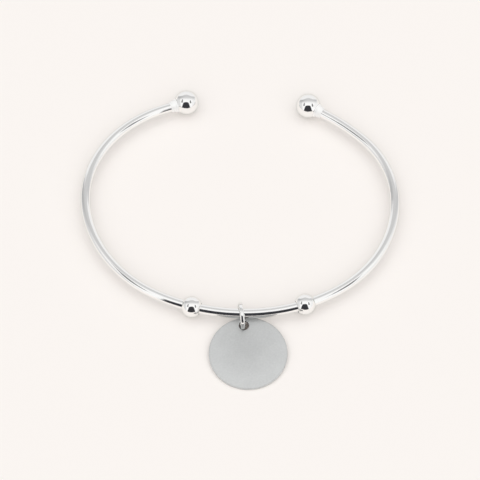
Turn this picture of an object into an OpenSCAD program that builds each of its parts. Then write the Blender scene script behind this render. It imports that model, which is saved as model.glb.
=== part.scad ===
// Open charm bangle of round silver wire. It lies on its side on the surface z = 0.
// The end gap faces +Y, and the flat disc lies in front, towards -Y.
// The origin is on the surface, under the middle of the bangle's outer box.

/* [Bangle wire] */
// Width of the bangle over the wire's outer edges
bangle_w = 63; // [56:1:72]
// Diameter of the round wire
wire_d = 2; // [1.8:0.1:2]

/* [End balls] */
// Diameter of each ball; the bangle's back rests on them
ball_d = 5; // [5:0.1:6]
// Radius of the hollow curve between a ball and its neck
neck_fillet = 1.5; // [1.2:0.1:2.4]

/* [Stopper beads] */
// Diameter of each stopper bead
bead_d = 4.2; // [3.6:0.1:4.8]
// Distance along the wire from the lowest point of the front to the left bead
left_stop = 10.4; // [6:0.1:14]
// Distance along the wire from the lowest point of the front to the right bead
right_stop = 11.7; // [6:0.1:14]

/* [Jump ring] */
// Outer diameter of the jump ring
ring_od = 5.2; // [5.2:0.1:5.6]
// Diameter of the jump ring's wire
ring_wire = 0.85; // [0.7:0.05:0.85]
// Angle by which the ring is turned away from square to the bangle's wire
ring_turn = 7; // [0:0.2:8]

/* [Disc charm] */
// Diameter of the disc
disc_d = 15; // [13:0.5:20]
// Thickness of the disc
disc_t = 0.5; // [0.4:0.05:0.5]
// Diameter of the disc's hole
hole_d = 1.9; // [1.9:0.05:2.2]
// Metal left between the hole and the disc's edge
hole_margin = 0.7; // [0.6:0.05:0.7]

/* [Hidden] */
$fn = 96;

silver = [0.90, 0.90, 0.89];
satin_silver = [0.76, 0.77, 0.77];

// Each arm is a chain of bends, each tangent to the last, from the lowest point of the front to the tail.
// The columns are the bend's radius on a bangle of natural size and its sweep in degrees.
RADIUS = 0;
SWEEP = 1;
LEFT_ARM = [
    [38.0, 27.0],
    [26.5, 49.5],
    [21.5, 54.0],
    [24.0, 29.0]
];
RIGHT_ARM = [
    [34.0, 33.7],
    [24.0, 56.8],
    [20.5, 43.3],
    [40.0, 12.8]
];
// Straight end of each arm, from its last bend to the middle of the ball
tail = 5;

// The point and the heading after the first n bends of an arm, as x, y and degrees
function arm_end(rows, n) =
    n == 0 ? [0, 0, 0] :
    let (from = arm_end(rows, n - 1), r = rows[n - 1][RADIUS], heading = from[2] + rows[n - 1][SWEEP])
    [from[0] + r * (sin(heading) - sin(from[2])), from[1] + r * (cos(from[2]) - cos(heading)), heading];

// How far an arm reaches sideways: the place on it where the wire heads straight back
function arm_reach(rows, n = 0) =
    let (from = arm_end(rows, n), r = rows[n][RADIUS])
    from[2] + rows[n][SWEEP] >= 90 ? from[0] + r * (1 - sin(from[2])) : arm_reach(rows, n + 1);

// The middle of the ball: the end of the tail
function ball_place(rows) =
    let (last = arm_end(rows, len(rows)))
    [last[0] + tail * cos(last[2]), last[1] + tail * sin(last[2]), last[2]];

function scaled(rows) = [for (row = rows) [row[RADIUS] * natural_scale, row[SWEEP]]];

natural_scale = (bangle_w - wire_d) / (arm_reach(LEFT_ARM) + arm_reach(RIGHT_ARM));
left_arm = scaled(LEFT_ARM);
right_arm = scaled(RIGHT_ARM);
left_ball = ball_place(left_arm);
right_ball = ball_place(right_arm);

// Gap between neighbours that would touch, and a running gap in bores
touch_gap = 0.05;
bore_gap = 0.1;

// Height of the bangle's wire: the middle of the balls
wire_z = ball_d / 2;

// The bends are separate rings of wire, joined by cores a hair thinner than the wire
joint_gap = 0.01;
core_length = 0.4;

// The ball, its neck and the blind socket for the wire's end
neck_wall = 0.15;
neck_r = wire_d / 2 + neck_wall;
neck_far = sqrt(pow(ball_d / 2 + neck_fillet, 2) - pow(neck_r + neck_fillet, 2));
socket_d = wire_d + 2 * touch_gap;
socket_stop = 0.8;
wire_stop = socket_stop + bore_gap;

// The beads are bored straight, so the bore has room for the wire's bend
bead_bore = wire_d + 2 * bore_gap;

// The ring stands on the surface and leans against the front of the wire that runs through it
ring_slack = ring_od / 2 - ring_wire - wire_d / 2 - 2 * touch_gap;
ring_back = sqrt(pow(ring_slack, 2) - pow(ring_od / 2 - wire_z, 2));
ring_side = -0.74;
ring_joint = 2;
ring_joint_at = 62;

// The disc's far edge rests on the ring's lowest turn, under the wire, and its near edge on the surface
disc_lift = 0.17;
disc_rise = ring_wire + disc_lift;
disc_tilt = asin(disc_rise / disc_d);
disc_under = 0.3;
disc_side = 0.53;
disc_chamfer = 0.06;
hole_turn = 7.8;
hole_place = disc_d / 2 - hole_margin - hole_d / 2;

// The wire's lowest point, set so that the whole lies evenly about the origin
back_reach = max(left_ball[1], right_ball[1]) + ball_d / 2;
front_reach = disc_under + disc_d * cos(disc_tilt);
front_x = (arm_reach(left_arm) - arm_reach(right_arm)) / 2;
front_y = (front_reach - back_reach) / 2;

module at_front() {
    translate([front_x, front_y, 0]) children();
}

// One bend of round wire that starts at the origin and heads along +X, bending towards +Y.
// It stops short at both ends, and a core fills the joint to the next bend.
module bend(r, sweep) {
    short = joint_gap / r * 180 / PI;
    translate([0, r, 0])
        rotate([0, 0, short - 90])
            rotate_extrude(angle = sweep - 2 * short)
                translate([r, 0]) circle(d = wire_d);
}

// The metal between two bends, centred on their joint
module joint_core() {
    rotate([0, 90, 0]) cylinder(d = wire_d - joint_gap, h = core_length, center = true);
}

// A whole arm: each bend starts where the last one ends, and the tail stops inside the ball
module arm(rows) {
    for (i = [0 : len(rows) - 1]) {
        from = arm_end(rows, i);
        translate([from[0], from[1], 0])
            rotate([0, 0, from[2]]) {
                bend(rows[i][RADIUS], rows[i][SWEEP]);
                if (i > 0) joint_core();
            }
    }
    last = arm_end(rows, len(rows));
    translate([last[0], last[1], 0])
        rotate([0, 0, last[2]]) {
            joint_core();
            translate([joint_gap, 0, 0])
                rotate([0, 90, 0]) cylinder(d = wire_d, h = tail - wire_stop - joint_gap);
        }
}

// Half of the neck's section, which meets the ball and the collar along one hollow curve
module neck_outline() {
    difference() {
        polygon([[0, 0], [neck_r + neck_fillet, -neck_far], [0, -neck_far]]);
        translate([neck_r + neck_fillet, -neck_far]) circle(r = neck_fillet);
    }
}

// A ball at the origin with its neck below it, and a blind socket for the wire's end
module end_ball() {
    difference() {
        union() {
            sphere(d = ball_d);
            rotate_extrude() neck_outline();
        }
        translate([0, 0, -2 * neck_far]) cylinder(d = socket_d, h = 2 * neck_far - socket_stop);
    }
}

// Puts a ball, made with its neck down, on the end of an arm
module on_arm_end(place) {
    translate([place[0], place[1], wire_z])
        rotate([0, 0, place[2]])
            rotate([0, 90, 0]) children();
}

module stopper_bead(rows, distance) {
    r = rows[0][RADIUS];
    turn = distance / r * 180 / PI;
    translate([r * sin(turn), r * (1 - cos(turn)), wire_z])
        rotate([0, 0, turn])
            rotate([0, 90, 0])
                difference() {
                    sphere(d = bead_d);
                    cylinder(d = bead_bore, h = 2 * bead_d, center = true);
                }
}

module bangle_wire() {
    color(silver)
        at_front()
            translate([0, 0, wire_z]) {
                joint_core();
                arm(right_arm);
                mirror([1, 0, 0]) arm(left_arm);
            }
}

module end_ball_left() {
    color(silver) at_front() mirror([1, 0, 0]) on_arm_end(left_ball) end_ball();
}

module end_ball_right() {
    color(silver) at_front() on_arm_end(right_ball) end_ball();
}

module stopper_bead_left() {
    color(silver) at_front() mirror([1, 0, 0]) stopper_bead(left_arm, left_stop);
}

module stopper_bead_right() {
    color(silver) at_front() stopper_bead(right_arm, right_stop);
}

// A closed loop of wire with the fine joint of a jump ring, at the back of its upper half
module jump_ring() {
    color(silver)
        at_front()
            translate([ring_side, -ring_back, ring_od / 2])
                rotate([0, 0, ring_turn])
                    rotate([90, 0, 90])
                        rotate([0, 0, ring_joint_at])
                            rotate_extrude(angle = 360 - ring_joint)
                                translate([(ring_od - ring_wire) / 2, 0]) circle(d = ring_wire);
}

// The blank disc, turned so that its hole is off to the left, and tilted about its near edge
module disc_charm() {
    color(satin_silver)
        at_front()
            translate([disc_side, -front_reach, 0])
                rotate([disc_tilt, 0, 0])
                    translate([0, disc_d / 2, 0])
                        difference() {
                            rotate_extrude() disc_outline();
                            rotate([0, 0, hole_turn])
                                translate([0, hole_place, -disc_t])
                                    cylinder(d = hole_d, h = 3 * disc_t);
                        }
}

// Half of the disc's section, with a fine chamfer on both edges of its rim
module disc_outline() {
    r = disc_d / 2;
    c = disc_chamfer;
    polygon([[0, 0], [r - c, 0], [r, c], [r, disc_t - c], [r - c, disc_t], [0, disc_t]]);
}

bangle_wire();
end_ball_left();
end_ball_right();
stopper_bead_left();
stopper_bead_right();
jump_ring();
disc_charm();
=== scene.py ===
# %% [markdown]
# # An open charm bangle in polished silver
#
# The object is a bangle of round wire with a ball on each end. Two stopper beads on its front keep a jump
# ring and a flat blank disc between them. It lies on its side on a pale surface.
#
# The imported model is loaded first, as a fixed frame: it says where each piece lies and how large it is. The
# solids in it are exact but coarse once they are triangles, and polished metal shows every flat. So each
# piece is made again here as a fine mesh of the same size in the same place, and then gets its finish.

# %% Load the fixed frame
import math

import bmesh
import bpy
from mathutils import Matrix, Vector


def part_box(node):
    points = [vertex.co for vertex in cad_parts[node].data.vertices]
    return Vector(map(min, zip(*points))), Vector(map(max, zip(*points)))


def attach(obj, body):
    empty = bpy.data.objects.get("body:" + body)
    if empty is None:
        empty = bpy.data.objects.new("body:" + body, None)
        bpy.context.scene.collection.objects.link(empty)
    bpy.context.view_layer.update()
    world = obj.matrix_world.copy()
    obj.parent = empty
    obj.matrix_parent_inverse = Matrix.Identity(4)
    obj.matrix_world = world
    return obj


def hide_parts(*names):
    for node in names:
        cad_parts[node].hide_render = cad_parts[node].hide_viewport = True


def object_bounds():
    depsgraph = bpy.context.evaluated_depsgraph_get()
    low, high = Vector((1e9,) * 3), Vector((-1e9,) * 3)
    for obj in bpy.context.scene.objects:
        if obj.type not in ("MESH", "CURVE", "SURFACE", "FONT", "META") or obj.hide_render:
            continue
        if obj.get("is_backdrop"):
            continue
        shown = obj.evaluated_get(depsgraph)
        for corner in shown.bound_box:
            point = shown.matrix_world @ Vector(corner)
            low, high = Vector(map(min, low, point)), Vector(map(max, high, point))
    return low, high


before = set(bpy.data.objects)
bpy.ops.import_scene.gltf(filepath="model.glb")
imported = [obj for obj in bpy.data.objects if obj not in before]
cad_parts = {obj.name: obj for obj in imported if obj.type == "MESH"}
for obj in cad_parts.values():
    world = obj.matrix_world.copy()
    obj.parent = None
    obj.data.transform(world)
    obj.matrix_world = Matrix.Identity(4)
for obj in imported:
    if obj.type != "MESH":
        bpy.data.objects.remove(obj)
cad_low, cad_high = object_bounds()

MM = 0.001


def in_mm(place):
    return [round(coordinate / MM, 2) for coordinate in place]


print("nodes:", sorted(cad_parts))
print("size in mm:", in_mm(cad_high - cad_low))

# %% [markdown]
# ## The camera
#
# The camera comes first, because every later choice is judged through it. Jewellery is photographed with a
# long lens from some way off, which keeps the two sides of the oval nearly parallel. The lens could be typed
# in and the distance found by trial. Here the distance and the size of one pixel on the object are chosen,
# and the lens follows from them. At 58.5 degrees above the surface the disc shows as the right oval, and the
# balls and beads fall in their places round it.

# %% Set the camera
PICTURE_SIDE = 480
PIXEL_SIZE = 0.195 * MM
CAMERA_DISTANCE = 450 * MM
CAMERA_HEIGHT_ANGLE = math.radians(58.5)
SENSOR_WIDTH = 36.0
NEAREST = 10 * MM
FARTHEST = 20.0
LOOK_AT = Vector((0.0, -1.71, 2.5)) * MM
TOWARDS_CAMERA = Vector((0, -math.cos(CAMERA_HEIGHT_ANGLE), math.sin(CAMERA_HEIGHT_ANGLE)))


def add_camera():
    data = bpy.data.cameras.new("camera")
    data.sensor_width = SENSOR_WIDTH
    data.lens = SENSOR_WIDTH * CAMERA_DISTANCE / (PIXEL_SIZE * PICTURE_SIDE)
    data.clip_start = NEAREST
    data.clip_end = FARTHEST
    camera = bpy.data.objects.new("camera", data)
    camera.location = LOOK_AT + TOWARDS_CAMERA * CAMERA_DISTANCE
    camera.rotation_mode = "QUATERNION"
    camera.rotation_quaternion = (-TOWARDS_CAMERA).to_track_quat("-Z", "Y")
    bpy.context.scene.collection.objects.link(camera)
    bpy.context.scene.camera = camera
    print("lens in mm:", round(data.lens, 1))


add_camera()

# %% [markdown]
# ## One way to make every piece
#
# All the pieces are round work: drawn wire, turned balls and a stamped disc. Each can be told as a row of
# circles with a skin drawn over them, which is called a loft. A curve with a bevel would give the wire too,
# but not the bored balls or the disc. A loft gives all of them, with every circle just where the size says.

# %% A loft over a row of circles


def loft(circles, closed=False, capped=False):
    """The points and faces of a skin over circles that all have the same number of points."""
    count = len(circles[0])
    points = [point for circle in circles for point in circle]
    spans = len(circles) if closed else len(circles) - 1
    faces = []
    for i in range(spans):
        here = i * count
        there = (i + 1) % len(circles) * count
        for k in range(count):
            after = (k + 1) % count
            faces.append((here + k, here + after, there + after, there + k))
    if capped:
        faces.append(tuple(reversed(range(count))))
        faces.append(tuple(range(len(points) - count, len(points))))
    return points, faces


sample = loft([[(0, 0, 0)] * 4] * 3)
print("a skin over 3 circles of 4 points has", len(sample[1]), "faces")

# %% [markdown]
# ## From a skin to a piece
#
# Blender keeps a shape in a mesh and shows it through an object. Where a circle has no radius its points fall
# together, so they are merged into one, and a ball closes in a clean pole. Polished metal has no flats, so
# the faces are shaded as one smooth skin. Shading everything smooth would blur the real edges as well, so
# those stay sharp where two faces meet steeply. Each piece rides on the frame's only body and stands for one
# node of it.

# %% Turn a skin into a piece
SHARP_ANGLE = math.radians(38)
MERGE_DISTANCE = 1e-7


def make_piece(name, node, skin):
    """A smooth mesh that stands for one node of the frame."""
    mesh = bpy.data.meshes.new(name)
    mesh.from_pydata(skin[0], [], skin[1])
    work = bmesh.new()
    work.from_mesh(mesh)
    bmesh.ops.remove_doubles(work, verts=work.verts, dist=MERGE_DISTANCE)
    bmesh.ops.recalc_face_normals(work, faces=work.faces)
    work.to_mesh(mesh)
    work.free()
    mesh.shade_smooth()
    mesh.set_sharp_from_angle(angle=SHARP_ANGLE)
    piece = bpy.data.objects.new(name, mesh)
    bpy.context.scene.collection.objects.link(piece)
    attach(piece, "root")
    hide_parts(node)
    print(name, "has", len(mesh.polygons), "faces")
    return piece


print("edges stay sharp from", round(math.degrees(SHARP_ANGLE)), "degrees")

# %% [markdown]
# ## The line of the wire
#
# A bangle is bent round a mandrel from straight wire, a stretch at a time. Its line is a chain of arcs, each
# tangent to the last: flat across the front, tighter at the sides, and easing again towards the ends. The two
# arms were bent by hand and differ a little. A free curve could follow them too, but arcs are what bending
# gives, and a short table of them is easy to change. Each row holds a radius in millimetres and a sweep in
# degrees, for a bangle of natural size, the same as in the part's source.

# %% Walk along an arm
LEFT_BENDS = [(38.0, 27.0), (26.5, 49.5), (21.5, 54.0), (24.0, 29.0)]
RIGHT_BENDS = [(34.0, 33.7), (24.0, 56.8), (20.5, 43.3), (40.0, 12.8)]
STEP = 0.45 * MM
FINE_STEP = 0.01


def walk(bends, scale, step=STEP):
    """Stations (x, y, heading) along an arm that starts at the origin and heads along +X."""
    stations = [(0.0, 0.0, 0.0)]
    for radius, sweep in bends:
        r = radius * scale
        turn = math.radians(sweep)
        x, y, heading = stations[-1]
        count = max(2, round(r * turn / step))
        for k in range(1, count + 1):
            h = heading + turn * k / count
            right = x + r * (math.sin(h) - math.sin(heading))
            back = y + r * (math.cos(heading) - math.cos(h))
            stations.append((right, back, h))
    return stations


def reach(bends):
    """How far an arm of natural size reaches sideways, in millimetres."""
    return max(x for x, y, heading in walk(bends, 1.0, step=FINE_STEP))


left_reach = reach(LEFT_BENDS)
right_reach = reach(RIGHT_BENDS)
print("reach of each arm at natural size in mm:", round(left_reach, 2), round(right_reach, 2))

# %% [markdown]
# ## Fit the arms into the frame's box
#
# The real bangle has one width, and the arms of natural size have another. The box of the wire's node gives
# the true width and the wire's thickness, so the scale is measured from it and not typed in. The front point
# is the lowest point of the wire's line in the picture, and every other place on the bangle starts from it.

# %% Measure the wire and place both arms
wire_low, wire_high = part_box("bangle_wire")
wire_radius = (wire_high.z - wire_low.z) / 2
wire_z = (wire_high.z + wire_low.z) / 2
arm_scale = (wire_high.x - wire_low.x - 2 * wire_radius) / (left_reach + right_reach)
front_x = wire_low.x + wire_radius + left_reach * arm_scale
front = Vector((front_x, wire_low.y + wire_radius, wire_z))
left_arm = walk(LEFT_BENDS, arm_scale)
right_arm = walk(RIGHT_BENDS, arm_scale)
print("wire diameter in mm:", round(2 * wire_radius / MM, 3))
print("front point in mm:", in_mm(front))

# %% [markdown]
# ## The bangle's wire
#
# The wire is plain drawn round silver, two millimetres thick. It could be a curve object with a round bevel,
# but the loft keeps a circle exactly square to the line at each station, and the flat ends come with it. The
# loft follows the left arm from back to front, then the right arm from front to back. Both ends run on into
# the end balls and stop inside them, as the real wire does in its sockets.

# %% Make the wire
WIRE_SIDES = 64
TAIL = 5.0 * MM
WIRE_STOP = 0.9 * MM
UP = Vector((0, 0, 1))


def full_turn(count):
    """The angles of points spread evenly round a circle."""
    return [2 * math.pi * k / count for k in range(count)]


def wire_circle(station):
    """A circle of the wire's size, square to its line at a station."""
    x, y, heading = station
    sideways = Vector((-math.sin(heading), math.cos(heading), 0))
    middle = front + Vector((x, y, 0))
    return [middle + wire_radius * (math.cos(a) * sideways + math.sin(a) * UP) for a in full_turn(WIRE_SIDES)]


def with_tail(arm):
    """An arm with its straight end, as far as the wire goes into its ball."""
    x, y, heading = arm[-1]
    length = TAIL - WIRE_STOP
    return arm + [(x + length * math.cos(heading), y + length * math.sin(heading), heading)]


def make_wire():
    left = [(-x, y, -heading) for x, y, heading in reversed(with_tail(left_arm))]
    circles = [wire_circle(station) for station in left + with_tail(right_arm)[1:]]
    return make_piece("wire", "bangle_wire", loft(circles, capped=True))


wire = make_wire()

# %% [markdown]
# ## A lathe
#
# The balls and beads are turned work: each has one section, and the lathe spins it round the wire's line. A
# ready-made sphere could be cut and joined to a neck instead, but the cuts leave uneven faces that polished
# metal shows at once. Here a section is a short list of points: how far along the line, and how far out
# from it. Where the metal is round the points come from an arc, and elsewhere one stands only at an edge.

# %% Arcs for a section, and the lathe
LATHE_SIDES = 96
ARC_STEP = math.radians(3)


def arc(middle, radius, start, end):
    """Section points (along, out) on an arc between two angles in degrees, both ends included."""
    a = math.radians(start)
    b = math.radians(end)
    count = max(2, math.ceil(abs(b - a) / ARC_STEP))
    turns = [a + (b - a) * k / count for k in range(count + 1)]
    return [(middle[0] + radius * math.cos(t), middle[1] + radius * math.sin(t)) for t in turns]


def turned(section, middle, heading):
    """The circles of a section (along, out) turned round the line through middle at a heading."""
    line = Vector((math.cos(heading), math.sin(heading), 0))
    sideways = Vector((-math.sin(heading), math.cos(heading), 0))
    rays = [math.cos(a) * sideways + math.sin(a) * UP for a in full_turn(LATHE_SIDES)]
    return [[middle + along * line + out * ray for ray in rays] for along, out in section]


print("a quarter turn is told by", len(arc((0, 0), 1, 0, 90)), "points")

# %% [markdown]
# ## The section of an end ball
#
# An end ball closes the wire's end so that it can't scratch. It is a ball with a short flared neck, turned or
# cast, drilled with a blind socket and pushed over the wire once the beads are on. Its section runs from the
# bottom of the socket out to the neck's end, and back along the neck and round the ball. The neck meets the
# ball in one hollow curve. Its end could be a plain square step, but solder and polishing leave none: it runs
# out thin onto the wire in a soft wave, so that the two look like one metal.

# %% Tell the section of an end ball
NECK_FILLET = 1.5 * MM
NECK_WALL = 0.15 * MM
SOCKET_GAP = 0.05 * MM
SOCKET_STOP = 0.8 * MM
LIP_LENGTH = 0.45 * MM
LIP_GAP = 0.02 * MM
LIP_STEPS = 8

ball_low, ball_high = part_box("end_ball_left")
ball_radius = (ball_high.z - ball_low.z) / 2


def thin_lip(neck_far, collar):
    """The thin end of the neck, from nearly the wire's own radius up to the collar's."""
    thin = wire_radius + LIP_GAP
    shares = [k / LIP_STEPS for k in range(LIP_STEPS)]
    rises = [(1 - math.cos(math.pi * share)) / 2 for share in shares]
    along = [-neck_far - LIP_LENGTH * (1 - share) for share in shares]
    return [(place, thin + (collar - thin) * rise) for place, rise in zip(along, rises)]


def ball_section():
    """From the bottom of the blind socket, out over the thin lip, along the neck and round the ball."""
    socket = wire_radius + SOCKET_GAP
    collar = wire_radius + NECK_WALL
    hollow = collar + NECK_FILLET
    neck_far = math.sqrt((ball_radius + NECK_FILLET) ** 2 - hollow**2)
    meet = math.degrees(math.atan2(hollow, -neck_far))
    inside = [(-SOCKET_STOP, 0.0), (-SOCKET_STOP, socket), (-neck_far, socket)]
    neck = arc((-neck_far, hollow), NECK_FILLET, 270, 180 + meet)
    ball = arc((0.0, 0.0), ball_radius, meet, 0)
    return inside + thin_lip(neck_far, collar) + neck + ball[1:]


print("ball diameter in mm:", round(2 * ball_radius / MM, 2), "points:", len(ball_section()))

# %% [markdown]
# ## The two end balls
#
# Both balls come from the same section. Each could be modelled once and moved into place, but a piece that
# stands for a node keeps its object at the origin, with its place in its mesh. So the lathe's line is laid
# straight through the tail of each arm, and the ball's middle is where the tail ends.

# %% Make the end balls


def ball_middle(arm, side):
    """The middle of the ball on an arm; side is -1 on the left and 1 on the right."""
    x, y, heading = arm[-1]
    return front + Vector((side * (x + TAIL * math.cos(heading)), y + TAIL * math.sin(heading), 0))


def make_ball(name, node, arm, side):
    heading = arm[-1][2]
    outward = heading if side > 0 else math.pi - heading
    middle = ball_middle(arm, side)
    print(name, "middle in mm:", in_mm(middle))
    return make_piece(name, node, loft(turned(ball_section(), middle, outward)))


ball_left = make_ball("ball_left", "end_ball_left", left_arm, -1)
ball_right = make_ball("ball_right", "end_ball_right", right_arm, 1)

# %% [markdown]
# ## The stopper beads
#
# A stopper bead is a ball drilled through, slid along the wire and fixed, so that the charm can't travel
# round the bangle. A plain ball with the wire pushed through it would look the same from outside, but two
# pieces of metal can't fill one place. So its section is a closed loop: round the outside of the ball, over a
# softened edge, and back along the drilled hole. The same lathe turns it into a true ring of metal.

# %% Make the beads
LEFT_STOP = 10.4 * MM
RIGHT_STOP = 11.7 * MM
BEAD_GAP = 0.1 * MM
BEAD_EDGE = 0.08 * MM


def bead_section(bead_radius):
    bore = wire_radius + BEAD_GAP
    edge_out = bore + BEAD_EDGE
    edge_along = math.sqrt((bead_radius - BEAD_EDGE) ** 2 - edge_out**2)
    lean = math.degrees(math.atan2(edge_out, edge_along))
    right_edge = arc((edge_along, edge_out), BEAD_EDGE, -90, lean)
    outside = arc((0.0, 0.0), bead_radius, lean, 180 - lean)
    left_edge = arc((-edge_along, edge_out), BEAD_EDGE, 180 - lean, 270)
    return right_edge + outside[1:-1] + left_edge


def make_bead(name, node, bends, distance, side):
    """A bead on the first bend of an arm, at a distance along the wire from the front point."""
    low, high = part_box(node)
    r = bends[0][0] * arm_scale
    turn = distance / r
    middle = front + Vector((side * r * math.sin(turn), r * (1 - math.cos(turn)), 0))
    print(name, "middle in mm:", in_mm(middle))
    circles = turned(bead_section((high.z - low.z) / 2), middle, side * turn)
    return make_piece(name, node, loft(circles, closed=True))


bead_left = make_bead("bead_left", "stopper_bead_left", LEFT_BENDS, LEFT_STOP, -1)
bead_right = make_bead("bead_right", "stopper_bead_right", RIGHT_BENDS, RIGHT_STOP, 1)

# %% [markdown]
# ## The jump ring
#
# A jump ring is a turn of thin wire with a fine joint where it was closed. It stands nearly upright here,
# with the bangle's wire through it and the disc's rim on its lowest turn. A torus would be quicker, but it
# has no joint and its section is always round. The loft runs round a circle and stops just short of itself,
# which leaves the joint as a real gap. Its section is a circle worn a little flat on four sides by rubbing on
# the wire and the disc, and the flats give the long narrow reflections of the real ring.

# %% Make the jump ring
RING_WIRE = 0.85 * MM
RING_SIDE = -0.74 * MM
RING_GAP = 0.1 * MM
RING_TURN = math.radians(7)
RING_JOINT = math.radians(2)
RING_JOINT_AT = math.radians(62)
RING_STATIONS = 200
RING_SIDES = 40
RING_SQUARENESS = 2.6


def worn_circle():
    """A circle of radius 1 worn flat on four sides; at a squareness of 2 it would be round."""
    power = 2 / RING_SQUARENESS
    points = []
    for a in full_turn(RING_SIDES):
        c = math.cos(a)
        s = math.sin(a)
        points.append((math.copysign(abs(c) ** power, c), math.copysign(abs(s) ** power, s)))
    return points


def make_ring():
    low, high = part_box("jump_ring")
    outer = (high.z - low.z) / 2
    slack = outer - RING_WIRE - wire_radius - RING_GAP
    lean_back = math.sqrt(slack**2 - (outer - wire_z) ** 2)
    middle = Vector((front.x + RING_SIDE, front.y - lean_back, outer))
    forward = Vector((-math.sin(RING_TURN), math.cos(RING_TURN), 0))
    aside = Vector((math.cos(RING_TURN), math.sin(RING_TURN), 0))
    section = worn_circle()
    circles = []
    for i in range(RING_STATIONS + 1):
        turn = RING_JOINT_AT + (2 * math.pi - RING_JOINT) * i / RING_STATIONS
        ray = math.cos(turn) * forward + math.sin(turn) * UP
        centre = middle + (outer - RING_WIRE / 2) * ray
        circles.append([centre + RING_WIRE / 2 * (out * ray + side * aside) for out, side in section])
    print("ring middle in mm:", in_mm(middle))
    return make_piece("ring", "jump_ring", loft(circles, capped=True))


ring = make_ring()

# %% [markdown]
# ## The rows of the disc
#
# The charm is a stamped blank: a thin round plate with one hole near its edge. A hole cut in a filled circle
# leaves long thin faces that shade badly. The loft avoids that: circles that grow and slide from the hole out
# to the rim cover the face evenly, since each lies wholly inside the next. The same row of circles turns over
# the softened rim, back along the underside and up the wall of the hole, and closes on itself.

# %% Tell the rows of the disc
DISC_THICKNESS = 0.5 * MM
RIM_SOFTNESS = 0.09 * MM
HOLE_SOFTNESS = 0.06 * MM
SOFT_STEPS = 5
FACE_CIRCLES = 22


def soft_corner(softness, start):
    """Offsets (out, up) round a corner of the plate, from the angle start through a quarter turn."""
    turns = [start + math.pi / 2 * k / SOFT_STEPS for k in range(SOFT_STEPS + 1)]
    return [(softness * math.cos(t), softness * math.sin(t)) for t in turns]


def disc_rows():
    """Rows (share, radius change, height): share 0 is the hole's circle, 1 the disc's."""
    top, rim, hole = DISC_THICKNESS, RIM_SOFTNESS, HOLE_SOFTNESS
    rows = [(0, hole + out, hole + up) for out, up in reversed(soft_corner(hole, math.pi))]
    rows += [(0, hole + out, top - hole + up) for out, up in reversed(soft_corner(hole, math.pi / 2))]
    shares = [k / FACE_CIRCLES for k in range(1, FACE_CIRCLES)]
    rows += [(share, hole * (1 - share) - rim * share, top) for share in shares]
    rows += [(1, -rim + out, top - rim + up) for out, up in reversed(soft_corner(rim, 0))]
    rows += [(1, -rim + out, rim + up) for out, up in reversed(soft_corner(rim, -math.pi / 2))]
    rows += [(share, hole * (1 - share) - rim * share, 0) for share in reversed(shares)]
    return rows


print("circles on the disc:", len(disc_rows()))

# %% [markdown]
# ## The disc in its place
#
# The disc lies in front of the bangle. Its far edge rests on the ring's lowest turn and its near edge on the
# surface, so it slopes by about four degrees. A flat disc could be made and tilted as an object, but its
# place has to be in its mesh. So the circles are laid out along two directions of the sloping plate, with a
# third one square to it for the heights. The hole lies a little to the left, where the ring goes through it.

# %% Make the disc
DISC_RISE = 1.02 * MM
DISC_UNDER = 0.3 * MM
DISC_SIDE = 0.53 * MM
DISC_SIDES = 160
HOLE_RADIUS = 0.95 * MM
HOLE_MARGIN = 0.7 * MM
HOLE_TURN = math.radians(7.8)


def make_disc():
    low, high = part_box("disc_charm")
    disc_radius = (high.x - low.x) / 2
    tilt = math.asin(DISC_RISE / (2 * disc_radius))
    forward = Vector((0, math.cos(tilt), math.sin(tilt)))
    upward = Vector((0, -math.sin(tilt), math.cos(tilt)))
    sideways = Vector((1, 0, 0))
    near_y = front.y - DISC_UNDER - 2 * disc_radius * math.cos(tilt)
    middle = Vector((front.x + DISC_SIDE, near_y, 0)) + disc_radius * forward
    hole_out = disc_radius - HOLE_MARGIN - HOLE_RADIUS
    hole = hole_out * (math.cos(HOLE_TURN) * forward - math.sin(HOLE_TURN) * sideways)
    rays = [math.cos(a) * sideways + math.sin(a) * forward for a in full_turn(DISC_SIDES)]
    circles = []
    for share, change, height in disc_rows():
        centre = middle + hole * (1 - share) + height * upward
        radius = HOLE_RADIUS * (1 - share) + disc_radius * share + change
        circles.append([centre + radius * ray for ray in rays])
    print("disc middle in mm:", in_mm(middle), "slope in degrees:", round(math.degrees(tilt), 2))
    piece = make_piece("disc", "disc_charm", loft(circles, closed=True))
    return piece, middle, middle + hole, upward


disc, disc_middle, hole_middle, disc_normal = make_disc()

# %% [markdown]
# ## How a finish is put together
#
# A finish in Blender is a tree of nodes that ends in a shader. The same few steps return in each finish, so
# each becomes a small helper: start a tree, ask for a point's place on the piece, and dress a piece. The
# place is the object's own, in metres, so a mark of a quarter millimetre is that large on every piece and
# stays where it is when the view changes.

# %% Start a finish and dress a piece


def start_material(name):
    """A new material, its tree of nodes and its main shader."""
    material = bpy.data.materials.new(name)
    material.use_nodes = True
    tree = material.node_tree
    return material, tree, tree.nodes["Principled BSDF"]


def place_node(tree):
    """The place of each point in the object's own space."""
    return tree.nodes.new("ShaderNodeTexCoord").outputs["Object"]


def dress(piece, material):
    piece.data.materials.append(material)
    print(piece.name, "wears", material.name)


all_pieces = (wire, ball_left, ball_right, bead_left, bead_right, ring, disc)
print("pieces to dress:", [piece.name for piece in all_pieces])

# %% [markdown]
# ## Noise and bump
#
# Real metal is never even. Noise makes soft spots of a chosen size, and a bump turns their height into a
# slight tilt of the surface, which is what bends a reflection. The tilts could be modelled in the mesh, but
# marks of a quarter millimetre would need millions of faces. Blender's noise wants a scale, which is how many
# spots fit in a metre, so the helper takes a size and turns it round.

# %% Helpers for noise and bump


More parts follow.
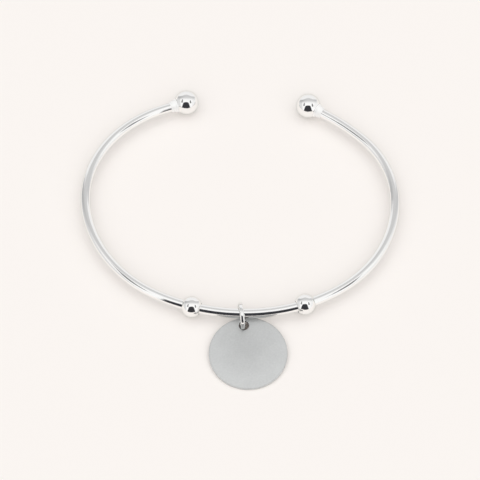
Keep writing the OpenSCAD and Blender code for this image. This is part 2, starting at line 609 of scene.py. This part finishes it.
def noise_node(tree, place, size, detail=2.0, rough=0.5):
    """Noise from 0 to 1 in spots of a size."""
    noise = tree.nodes.new("ShaderNodeTexNoise")
    noise.inputs["Scale"].default_value = 1 / size
    noise.inputs["Detail"].default_value = detail
    noise.inputs["Roughness"].default_value = rough
    tree.links.new(place, noise.inputs["Vector"])
    return noise.outputs["Fac"]


def bump_node(tree, height, strength, distance, before=None):
    """A surface direction tilted by a height, on top of an earlier bump if there is one."""
    bump = tree.nodes.new("ShaderNodeBump")
    bump.inputs["Strength"].default_value = strength
    bump.inputs["Distance"].default_value = distance
    tree.links.new(height, bump.inputs["Height"])
    if before is not None:
        tree.links.new(before, bump.inputs["Normal"])
    return bump.outputs["Normal"]


print("scale of noise in spots of 1 mm:", round(1 / MM))

# %% [markdown]
# ## Spread, distance and sum
#
# Wear on metal depends on where a point lies: how far it is from a hole, a rim or a ball's middle. These
# helpers measure a distance, spread a value over a new range, and add two values. A painted map could hold
# the wear instead, but distances fit the piece at any size and need no picture.

# %% Helpers for values


def spread_node(tree, value, start, end, low, high):
    """Takes a value from start..end to low..high, and holds it there beyond the ends."""
    spread = tree.nodes.new("ShaderNodeMapRange")
    numbers = {"From Min": start, "From Max": end, "To Min": low, "To Max": high}
    for socket, number in numbers.items():
        spread.inputs[socket].default_value = number
    tree.links.new(value, spread.inputs["Value"])
    return spread.outputs["Result"]


def distance_node(tree, place, middle):
    away = tree.nodes.new("ShaderNodeVectorMath")
    away.operation = "DISTANCE"
    away.inputs[1].default_value = middle
    tree.links.new(place, away.inputs[0])
    return away.outputs["Value"]


def sum_node(tree, first, second):
    total = tree.nodes.new("ShaderNodeMath")
    total.operation = "ADD"
    tree.links.new(first, total.inputs[0])
    tree.links.new(second, total.inputs[1])
    return total.outputs["Value"]


print("from the disc's middle to its hole in mm:", round((hole_middle - disc_middle).length / MM, 2))

# %% [markdown]
# ## Polished silver
#
# Polished silver is nearly a mirror, so its look is mostly what stands round it. What the metal adds is
# small: a faint warm tint, a greyer edge where the light only grazes it, fine wheel marks from polishing, and
# a slow unevenness. A perfect mirror would be quicker, but silver that is worn is softer than that. Noise
# gives the marks and the unevenness as bump, and a third noise lets the polish vary. A buffing wheel can't
# reach well into the necks of the end balls, so there the polish is hazier: the haze grows with the distance
# from the ball's middle, once that is more than the ball's own radius.

# %% Mix polished silver
SILVER_TINT = (0.965, 0.96, 0.95, 1)
EDGE_TINT = (0.68, 0.71, 0.70, 1)
WAVE_STRENGTH = 1.0
MARK_SIZE = 0.25 * MM
MARK_DEPTH = 0.002 * MM
MARK_STRENGTH = 0.15
WEAR_SIZE = 2.5 * MM
NOISE_LOW = 0.3
NOISE_HIGH = 0.7
POLISH_LOW = 0.03
POLISH_HIGH = 0.08
NECK_HAZE = 0.45
NECK_METAL = 0.35
NECK_FROM = 1.001
NECK_FULL = 1.03


def add_neck_haze(tree, shader, place, middle, roughness):
    """Roughness with the haze of the neck added; the neck is less of a mirror too."""
    away = distance_node(tree, place, middle)
    start = NECK_FROM * ball_radius
    full = NECK_FULL * ball_radius
    tree.links.new(spread_node(tree, away, start, full, 1.0, NECK_METAL), shader.inputs["Metallic"])
    return sum_node(tree, roughness, spread_node(tree, away, start, full, 0.0, NECK_HAZE))


def polished_silver(name, wave_size, wave_depth, ball=None):
    """Polished silver with slow waves; ball is the middle of the ball whose neck stays hazy."""
    material, tree, shader = start_material(name)
    shader.inputs["Metallic"].default_value = 1.0
    shader.inputs["Base Color"].default_value = SILVER_TINT
    shader.inputs["Specular Tint"].default_value = EDGE_TINT
    place = place_node(tree)
    waves = bump_node(tree, noise_node(tree, place, wave_size), WAVE_STRENGTH, wave_depth)
    fine = noise_node(tree, place, MARK_SIZE, detail=4.0, rough=0.6)
    marks = bump_node(tree, fine, MARK_STRENGTH, MARK_DEPTH, before=waves)
    tree.links.new(marks, shader.inputs["Normal"])
    wear = noise_node(tree, place, WEAR_SIZE, detail=3.0)
    roughness = spread_node(tree, wear, NOISE_LOW, NOISE_HIGH, POLISH_LOW, POLISH_HIGH)
    if ball is not None:
        roughness = add_neck_haze(tree, shader, place, ball, roughness)
    tree.links.new(roughness, shader.inputs["Roughness"])
    return material


print("roughness of the polish:", POLISH_LOW, "to", POLISH_HIGH)

# %% [markdown]
# ## Dress the polished pieces
#
# The hand-bent wire has longer and deeper waves than the turned balls and beads, and they make its dark
# reflections thicken and thin along it. One material for all would make the balls look dented. The beads and
# the ring share one material, and each end ball has its own, because the haze starts from its own middle.

# %% Dress the wire, beads, ring and balls
WIRE_WAVE = (5 * MM, 0.05 * MM)
BEAD_WAVE = (2 * MM, 0.006 * MM)

bead_silver = polished_silver("polished_silver_beads", *BEAD_WAVE)
dress(wire, polished_silver("polished_silver_wire", *WIRE_WAVE))
for piece in (bead_left, bead_right, ring):
    dress(piece, bead_silver)
for piece, arm, side in ((ball_left, left_arm, -1), (ball_right, right_arm, 1)):
    ball_silver = polished_silver("polished_silver_" + piece.name, *BEAD_WAVE, ball=ball_middle(arm, side))
    dress(piece, ball_silver)

# %% [markdown]
# ## How light the satin face is
#
# The disc is tumbled or blasted, so its faces are matt, with a soft mottling. The face is darker round a spot
# a little from its middle towards the hole, and lighter towards the rim. One even grey would look like
# plastic. So
# its tone is a sum: the distance from the dark spot, slow clouds, a fine grain, a slightly darker line along
# the
# rim, and a painted shade round the hole: a dark line where shade falls into it.

# %% Add up the tone of the satin face
# The face is darker round a spot a little from its middle towards the hole, and lighter towards the rim.
DARK_SPOT_SHIFT = 2.0 * MM
LIGHTER_FROM = 1.5 * MM
LIGHTER_FULL = 7.5 * MM
SPOT_TONE = 0.32
OUTER_TONE = 0.58
GRAIN_SIZE = 0.35 * MM
GRAIN_SHARE = 0.3
RIM_FROM = 7.15 * MM
RIM_FULL = 7.45 * MM
RIM_SHARE = -0.20
# Painted shade round the hole: how wide the dark line is and how much it darkens the face.
HOLE_SHADE_WIDTH = 0.25 * MM
HOLE_SHADE_SHARE = -0.9


def satin_tone(tree, place, cloud):
    """How light the face is: 0 is the dark tone, 1 the light one."""
    dark_spot_middle = disc_middle.lerp(hole_middle, DARK_SPOT_SHIFT / (hole_middle - disc_middle).length)
    away = distance_node(tree, place, dark_spot_middle)
    grain = noise_node(tree, place, GRAIN_SIZE)
    from_middle = distance_node(tree, place, disc_middle)
    from_hole = distance_node(tree, place, hole_middle)
    parts = (
        cloud,
        spread_node(tree, grain, 0.0, 1.0, 0.0, GRAIN_SHARE),
        spread_node(tree, from_middle, RIM_FROM, RIM_FULL, 0.0, RIM_SHARE),
        # Painted shade: a dark line round the rim of the hole.
        spread_node(tree, from_hole, HOLE_RADIUS, HOLE_RADIUS + HOLE_SHADE_WIDTH, HOLE_SHADE_SHARE, 0.0),
    )
    tone = spread_node(tree, away, LIGHTER_FROM, LIGHTER_FULL, SPOT_TONE, OUTER_TONE)
    for part in parts:
        tone = sum_node(tree, tone, part)
    return tone


print("dull spot from the disc's middle in mm:", round(DARK_SPOT_SHIFT / MM, 2))

# %% [markdown]
# ## Satin silver
#
# A matt metal takes on the mean of the light above it. A fully metallic shader would turn dark wherever the
# room is dark, and a plain grey paint would have no metal in it, so the shader is part metal and rough. Its
# colour runs from a dark to a light grey with the tone. Fine specks tilt the surface. Seen at a low angle,
# even matt metal begins to shine: the Layer Weight node lowers the roughness there, and only there.

# %% Mix satin silver
SATIN_DARK = (0.375, 0.38, 0.38, 1)
SATIN_LIGHT = (0.725, 0.735, 0.73, 1)
SATIN_METAL = 0.6
CLOUD_SIZE = 3 * MM
CLOUD_SHARE = 0.25
CLOUD_LOW = 0.08
CLOUD_HIGH = 0.17
SATIN_LOW = 0.42
SATIN_HIGH = 0.50
GLOSS_FROM = 0.55
GLOSS_FULL = 0.72
GLOSS = 0.34
SPECK_SIZE = 0.12 * MM
SPECK_DEPTH = 0.01 * MM
SPECK_STRENGTH = 0.3


def satin_silver():
    material, tree, shader = start_material("satin_silver_disc")
    shader.inputs["Metallic"].default_value = SATIN_METAL
    place = place_node(tree)
    cloud = spread_node(tree, noise_node(tree, place, CLOUD_SIZE, detail=3.0), 0.0, 1.0, 0.0, CLOUD_SHARE)
    ramp = tree.nodes.new("ShaderNodeValToRGB")
    ramp.color_ramp.elements[0].color = SATIN_DARK
    ramp.color_ramp.elements[1].color = SATIN_LIGHT
    tree.links.new(satin_tone(tree, place, cloud), ramp.inputs["Fac"])
    tree.links.new(ramp.outputs["Color"], shader.inputs["Base Color"])
    specks = noise_node(tree, place, SPECK_SIZE, detail=3.0, rough=0.6)
    tree.links.new(bump_node(tree, specks, SPECK_STRENGTH, SPECK_DEPTH), shader.inputs["Normal"])
    grazing = tree.nodes.new("ShaderNodeLayerWeight").outputs["Facing"]
    gloss = spread_node(tree, grazing, GLOSS_FROM, GLOSS_FULL, 0.0, -GLOSS)
    roughness = spread_node(tree, cloud, CLOUD_LOW, CLOUD_HIGH, SATIN_LOW, SATIN_HIGH)
    tree.links.new(sum_node(tree, roughness, gloss), shader.inputs["Roughness"])
    return material


dress(disc, satin_silver())

# %% [markdown]
# ## The wall of the hole
#
# Tumbling doesn't reach into a hole of two millimetres, so its wall stays rougher, with turning marks. Its
# near-black colour is painted shade, for the darkness inside the hole. It could be a piece of its own, but it
# belongs to the disc's mesh. So the disc gets a second material, and the faces that lie on the wall are
# picked by their distance from the hole's axis.

# %% Darken the hole's wall
# Painted shade: the near-black colour of the hole's wall.
HOLE_WALL_PAINTED_SHADE = (0.16, 0.15, 0.145, 1)
TURNING_SIZE = 0.1 * MM
TURNING_DEPTH = 0.01 * MM
TURNING_STRENGTH = 0.5
WALL_LOW = 0.35
WALL_HIGH = 0.6
WALL_REACH = 0.2


def painted_shade_silver():
    material, tree, shader = start_material("painted_shade_silver")
    shader.inputs["Metallic"].default_value = 1.0
    # Painted shade: the wall is coloured near-black for the darkness inside the hole.
    shader.inputs["Base Color"].default_value = HOLE_WALL_PAINTED_SHADE
    turning = noise_node(tree, place_node(tree), TURNING_SIZE, detail=3.0)
    tree.links.new(bump_node(tree, turning, TURNING_STRENGTH, TURNING_DEPTH), shader.inputs["Normal"])
    roughness = spread_node(tree, turning, NOISE_LOW, NOISE_HIGH, WALL_LOW, WALL_HIGH)
    tree.links.new(roughness, shader.inputs["Roughness"])
    return material


def is_hole_wall(face):
    """Whether a face of the disc lies on the wall of its hole."""
    out = face.center - hole_middle
    out -= out.dot(disc_normal) * disc_normal
    return out.length < HOLE_RADIUS + WALL_REACH * HOLE_SOFTNESS


disc.data.materials.append(painted_shade_silver())
wall_faces = [face for face in disc.data.polygons if is_hole_wall(face)]
for face in wall_faces:
    face.material_index = 1
print("faces on the hole's wall:", len(wall_faces))

# %% [markdown]
# ## The surface
#
# The bangle lies on a sheet of pale warm paper. The paper is matt, so it shows no reflections, only soft
# shadows. Lamps alone would make them too deep, so it glows a little by itself, as a sheet with light behind
# it does. Under the disc the glow would shine out of the narrow gap, so there it fades away, and the paper's
# colour is darkened there as a painted shadow of the disc. The sheet is much larger than the picture, so that
# its edge never shows.

# %% Lay the surface
FLOOR_SIDE = 8.0
FLOOR_COLOUR = (0.955, 0.912, 0.878, 1)
FLOOR_GLOW = 0.18
# Painted shadow under the disc: the dark colour the paper takes there, how far from the disc's middle it
# reaches, and its soft edge.
PAINTED_SHADOW_COLOUR = (0.42, 0.37, 0.34, 1)
PAINTED_SHADOW_REACH = 6.9 * MM
PAINTED_SHADOW_EDGE = 0.5 * MM


def pale_surface():
    material, tree, shader = start_material("pale_surface")
    shader.inputs["Roughness"].default_value = 1.0
    shader.inputs["Specular IOR Level"].default_value = 0.0
    # Painted shadow under the disc: near the point under its middle the paper's colour turns dark and its
    # glow fades out.
    away = distance_node(tree, place_node(tree), (disc_middle.x, disc_middle.y, 0))
    painted_shadow_end = PAINTED_SHADOW_REACH + PAINTED_SHADOW_EDGE
    tone = tree.nodes.new("ShaderNodeMix")
    tone.data_type = "RGBA"
    tone.inputs["A"].default_value = PAINTED_SHADOW_COLOUR
    tone.inputs["B"].default_value = FLOOR_COLOUR
    tree.links.new(spread_node(tree, away, PAINTED_SHADOW_REACH, painted_shadow_end, 0.0, 1.0), tone.inputs["Factor"])
    tree.links.new(tone.outputs["Result"], shader.inputs["Base Color"])
    glow = tree.nodes.new("ShaderNodeEmission")
    glow.inputs["Color"].default_value = FLOOR_COLOUR
    mix = tree.nodes.new("ShaderNodeMixShader")
    tree.links.new(spread_node(tree, away, PAINTED_SHADOW_REACH, painted_shadow_end, 0.0, FLOOR_GLOW), mix.inputs["Fac"])
    tree.links.new(shader.outputs["BSDF"], mix.inputs[1])
    tree.links.new(glow.outputs["Emission"], mix.inputs[2])
    tree.links.new(mix.outputs["Shader"], tree.nodes["Material Output"].inputs["Surface"])
    return material


def add_floor():
    corner = FLOOR_SIDE / 2
    corners = [(-corner, -corner, 0), (corner, -corner, 0), (corner, corner, 0), (-corner, corner, 0)]
    mesh = bpy.data.meshes.new("floor")
    mesh.from_pydata(corners, [], [(0, 1, 2, 3)])
    floor = bpy.data.objects.new("floor", mesh)
    bpy.context.scene.collection.objects.link(floor)
    mesh.materials.append(pale_surface())
    floor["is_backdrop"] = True
    print("floor side in m:", FLOOR_SIDE)


add_floor()

# %% [markdown]
# ## The white sky
#
# Round the table stands white paper with lamps behind it, so light comes from everywhere, but most of it from
# above. Area lamps could stand for that, but each would throw a shadow with an edge. The world's background
# is brighter round one direction instead, which leans a little from straight up towards the viewer. So the
# shadows are soft, and fall slightly behind the wire.

# %% Light the scene
SKY_COLOUR = (1, 1, 1, 1)
SKY_LOW = 0.30
SKY_HIGH = 1.45
SKY_FROM = 0.30
SKY_FULL = 0.85
SKY_LEAN = math.radians(17)


def add_sky():
    world = bpy.data.worlds.new("white_paper")
    bpy.context.scene.world = world
    world.use_nodes = True
    tree = world.node_tree
    background = tree.nodes["Background"]
    background.inputs["Color"].default_value = SKY_COLOUR
    towards = tree.nodes.new("ShaderNodeVectorMath")
    towards.operation = "DOT_PRODUCT"
    towards.inputs[1].default_value = (0, -math.sin(SKY_LEAN), math.cos(SKY_LEAN))
    tree.links.new(tree.nodes.new("ShaderNodeTexCoord").outputs["Generated"], towards.inputs[0])
    strength = spread_node(tree, towards.outputs["Value"], SKY_FROM, SKY_FULL, SKY_LOW, SKY_HIGH)
    tree.links.new(strength, background.inputs["Strength"])
    print("light from the side and from above:", SKY_LOW, SKY_HIGH)


add_sky()

# %% [markdown]
# ## The tent that the silver reflects
#
# Silver is photographed inside a tent of white paper, and a ball of silver shows the whole tent at once. The
# tent could be built from sheets, but a dome is easier to plan: each of its points is painted by where it
# shows in a mirror ball on the table. A place in the ball is told as how far right and how far up it is, with
# 0 at the ball's middle and 1 at its rim. The dome stands still in the room, whatever the view.

# %% Where a direction shows in a mirror ball
PICTURE_UP = Vector((0, math.sin(CAMERA_HEIGHT_ANGLE), math.cos(CAMERA_HEIGHT_ANGLE)))


def place_in_ball(direction):
    """How far right and up of a mirror ball's middle a direction shows, in ball radii."""
    normal = (direction + TOWARDS_CAMERA).normalized()
    return normal.x, normal.dot(PICTURE_UP)


print("the point overhead shows at:", [round(part, 2) for part in place_in_ball(UP)])

# %% [markdown]
# ## The opening of the tent
#
# The front of a tent is open, for the lens, and the room behind is dark. Low in the ball this makes the
# black spot on each ball and bead, and along the wire it makes the black line. A hard black shape would look
# cut out, so its edge is blurred, its upper corners are round, and it widens towards its foot. In the ball it
# is told by a left and a right edge that both lean with the height.

# %% Shape the opening
EDGE_BLUR = 0.015
OPENING_TOP = 0.03
OPENING_LEFT = -0.235
OPENING_LEFT_LEAN = 0.38
OPENING_RIGHT = 0.175
OPENING_RIGHT_LEAN = -0.36
CORNER_ROUND = 0.07


def soft_step(value, start, end):
    """0 up to start, 1 from end on, and a soft rise between them."""
    share = min(max((value - start) / (end - start), 0.0), 1.0)
    return share * share * (3 - 2 * share)


def in_opening(right, up):
    """1 inside the dark opening, 0 outside, with a soft edge."""
    squeeze = 1.0
    if up > OPENING_TOP - CORNER_ROUND:
        squeeze = math.sqrt(max(0.0, 1 - ((up - OPENING_TOP + CORNER_ROUND) / CORNER_ROUND) ** 2))
    left_edge = (OPENING_LEFT + OPENING_LEFT_LEAN * up) * squeeze
    right_edge = (OPENING_RIGHT + OPENING_RIGHT_LEAN * up) * squeeze
    inside = soft_step(right, left_edge - EDGE_BLUR, left_edge + EDGE_BLUR)
    inside *= 1 - soft_step(right, right_edge - EDGE_BLUR, right_edge + EDGE_BLUR)
    return inside * (1 - soft_step(up, OPENING_TOP - EDGE_BLUR, OPENING_TOP + EDGE_BLUR))


print("in the opening, low in the ball and above its middle:", in_opening(0, -0.2), in_opening(0, 0.2))

# %% [markdown]
# ## The seams of the tent
#
# Where two sheets of the tent meet, a thin dark seam runs up each side, and it shows in the balls as a short
# fine dash. A seam is a line between two places in the ball. Each has the half width at its lower and upper
# end, and how bright it is.

# %% Draw the seams
SEAM_CORE = 0.5
SEAM_FADE = 1.5
SEAMS = [
    ((-0.352, 0.05), (-0.314, 0.22), 0.060, 0.036, 0.17),
    ((0.345, 0.00), (0.318, 0.15), 0.060, 0.036, 0.14),
]


def blend(light, other, share):
    return light + (other - light) * share


def on_seam(right, up, start, end, start_width, end_width):
    """1 on the middle of a seam, 0 away from it."""
    ax = end[0] - start[0]
    ay = end[1] - start[1]
    share = ((right - start[0]) * ax + (up - start[1]) * ay) / (ax * ax + ay * ay)
    share = min(max(share, 0.0), 1.0)
    away = math.hypot(right - start[0] - share * ax, up - start[1] - share * ay)
    half_width = blend(start_width, end_width, share)
    return 1 - soft_step(away, SEAM_CORE * half_width, SEAM_FADE * half_width)


print("seams:", len(SEAMS))

# %% [markdown]
# ## How bright the tent is
#
# White paper stands round the opening. The side walls are greyer, the left one most. The roof above is greyer
# still, and darker towards its sides, because no lamp stands behind it. Over it in the ball comes the back
# wall, which is lit again. Separate lamps could give these steps too, but here each is one soft blend over
# the last, in the order of the lines below.

# %% Work out the brightness
WHITE_PAPER = 1.0
SIDE_LEFT = 0.74
SIDE_RIGHT = 0.90
SIDE_FROM = 0.42
SIDE_FULL = 0.56
ROOF_PAPER = 0.62
ROOF_LEFT = 0.42
ROOF_RIGHT = 0.56
ROOF_HALF_WIDTH = 0.45
ROOF_FROM = 0.17
ROOF_FULL = 0.48
ROOF_FADE = 0.55
ROOF_GONE = 0.85
BACK_PAPER = 0.90
BACK_LINE = 0.48
BACK_RISE = 0.11
BACK_HALF_WIDTH = 0.45
BACK_BELOW = 0.02
BACK_ABOVE = 0.08
OPENING_LIGHT = 0.04


def tent_light(right, up):
    """The brightness of the tent where it shows at a place in the mirror ball."""
    aside = abs(right)
    side = SIDE_LEFT if right < 0 else SIDE_RIGHT
    light = blend(WHITE_PAPER, side, soft_step(aside, SIDE_FROM, SIDE_FULL))
    roof_side = ROOF_LEFT if right < 0 else ROOF_RIGHT
    roof = blend(ROOF_PAPER, roof_side, min(1.0, (right / ROOF_HALF_WIDTH) ** 2))
    on_roof = soft_step(up, ROOF_FROM, ROOF_FULL) * (1 - soft_step(aside, ROOF_FADE, ROOF_GONE))
    light = blend(light, roof, on_roof)
    back_line = BACK_LINE + BACK_RISE * (1 - soft_step(aside, 0.0, BACK_HALF_WIDTH))
    light = blend(light, BACK_PAPER, soft_step(up, back_line - BACK_BELOW, back_line + BACK_ABOVE))
    for start, end, start_width, end_width, seam in SEAMS:
        light = blend(light, seam, on_seam(right, up, start, end, start_width, end_width))
    return blend(light, OPENING_LIGHT, in_opening(right, up))


for name, up in (("opening", -0.2), ("white paper", 0.1), ("roof", 0.4), ("back wall", 0.8)):
    print(name, "is", round(tent_light(0, up), 2), "bright")

# %% [markdown]
# ## The dome
#
# The dome is half a ball of small faces, with a colour at each point, which Blender keeps as a colour
# attribute. The colour could come from a picture, but an attribute is worked out from the rules above and
# needs no file. The paper glows with it. Only reflections see the dome, so it shades nothing and never shows
# in the picture. The dark opening is a touch blue, as daylight in a dim room is.

# %% Make and paint the dome
TENT_RADIUS = 600 * MM
TENT_STEP = 1.5
OPENING_BLUE = 0.006


def tent_circle(height):
    """A level circle of the dome at a height angle in degrees."""
    turns = [math.radians(TENT_STEP) * k for k in range(round(360 / TENT_STEP))]
    across = math.cos(math.radians(height))
    rise = math.sin(math.radians(height))
    return [TENT_RADIUS * Vector((math.sin(a) * across, -math.cos(a) * across, rise)) for a in turns]


def paint_tent(mesh, points):
    paint = mesh.color_attributes.new("paint", "FLOAT_COLOR", "POINT")
    for point, dot in zip(points, paint.data):
        light = tent_light(*place_in_ball(point.normalized()))
        dot.color = (light, light, light + OPENING_BLUE * (1 - light), 1)


def tent_paper():
    material, tree, _ = start_material("tent_paper")
    painted = tree.nodes.new("ShaderNodeAttribute")
    painted.attribute_name = "paint"
    glow = tree.nodes.new("ShaderNodeEmission")
    tree.links.new(painted.outputs["Color"], glow.inputs["Color"])
    tree.links.new(glow.outputs["Emission"], tree.nodes["Material Output"].inputs["Surface"])
    return material


def add_tent():
    points, faces = loft([tent_circle(TENT_STEP * k) for k in range(round(90 / TENT_STEP) + 1)])
    mesh = bpy.data.meshes.new("tent")
    mesh.from_pydata(points, [], faces)
    paint_tent(mesh, points)
    mesh.materials.append(tent_paper())
    tent = bpy.data.objects.new("tent", mesh)
    bpy.context.scene.collection.objects.link(tent)
    tent.visible_camera = tent.visible_diffuse = tent.visible_shadow = False
    tent.visible_transmission = tent.visible_volume_scatter = False
    tent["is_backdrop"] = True
    print("tent faces:", len(mesh.polygons))


add_tent()

# %% [markdown]
# ## Colour and the last checks
#
# A filmic colour transform would turn the paper grey, so the plain one is set, which keeps the pale surface
# the colour that was chosen. Then the box of the finished pieces is measured against the box of the imported
# solids, and the largest change is printed: the looks must not change a size.

# %% Set the colour and write the sizes
bpy.context.scene.view_settings.view_transform = "Standard"
low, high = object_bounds()
changes = [abs(after - before) for after, before in zip((*low, *high), (*cad_low, *cad_high))]
print("largest change of the box in mm:", round(max(changes) / MM, 3))
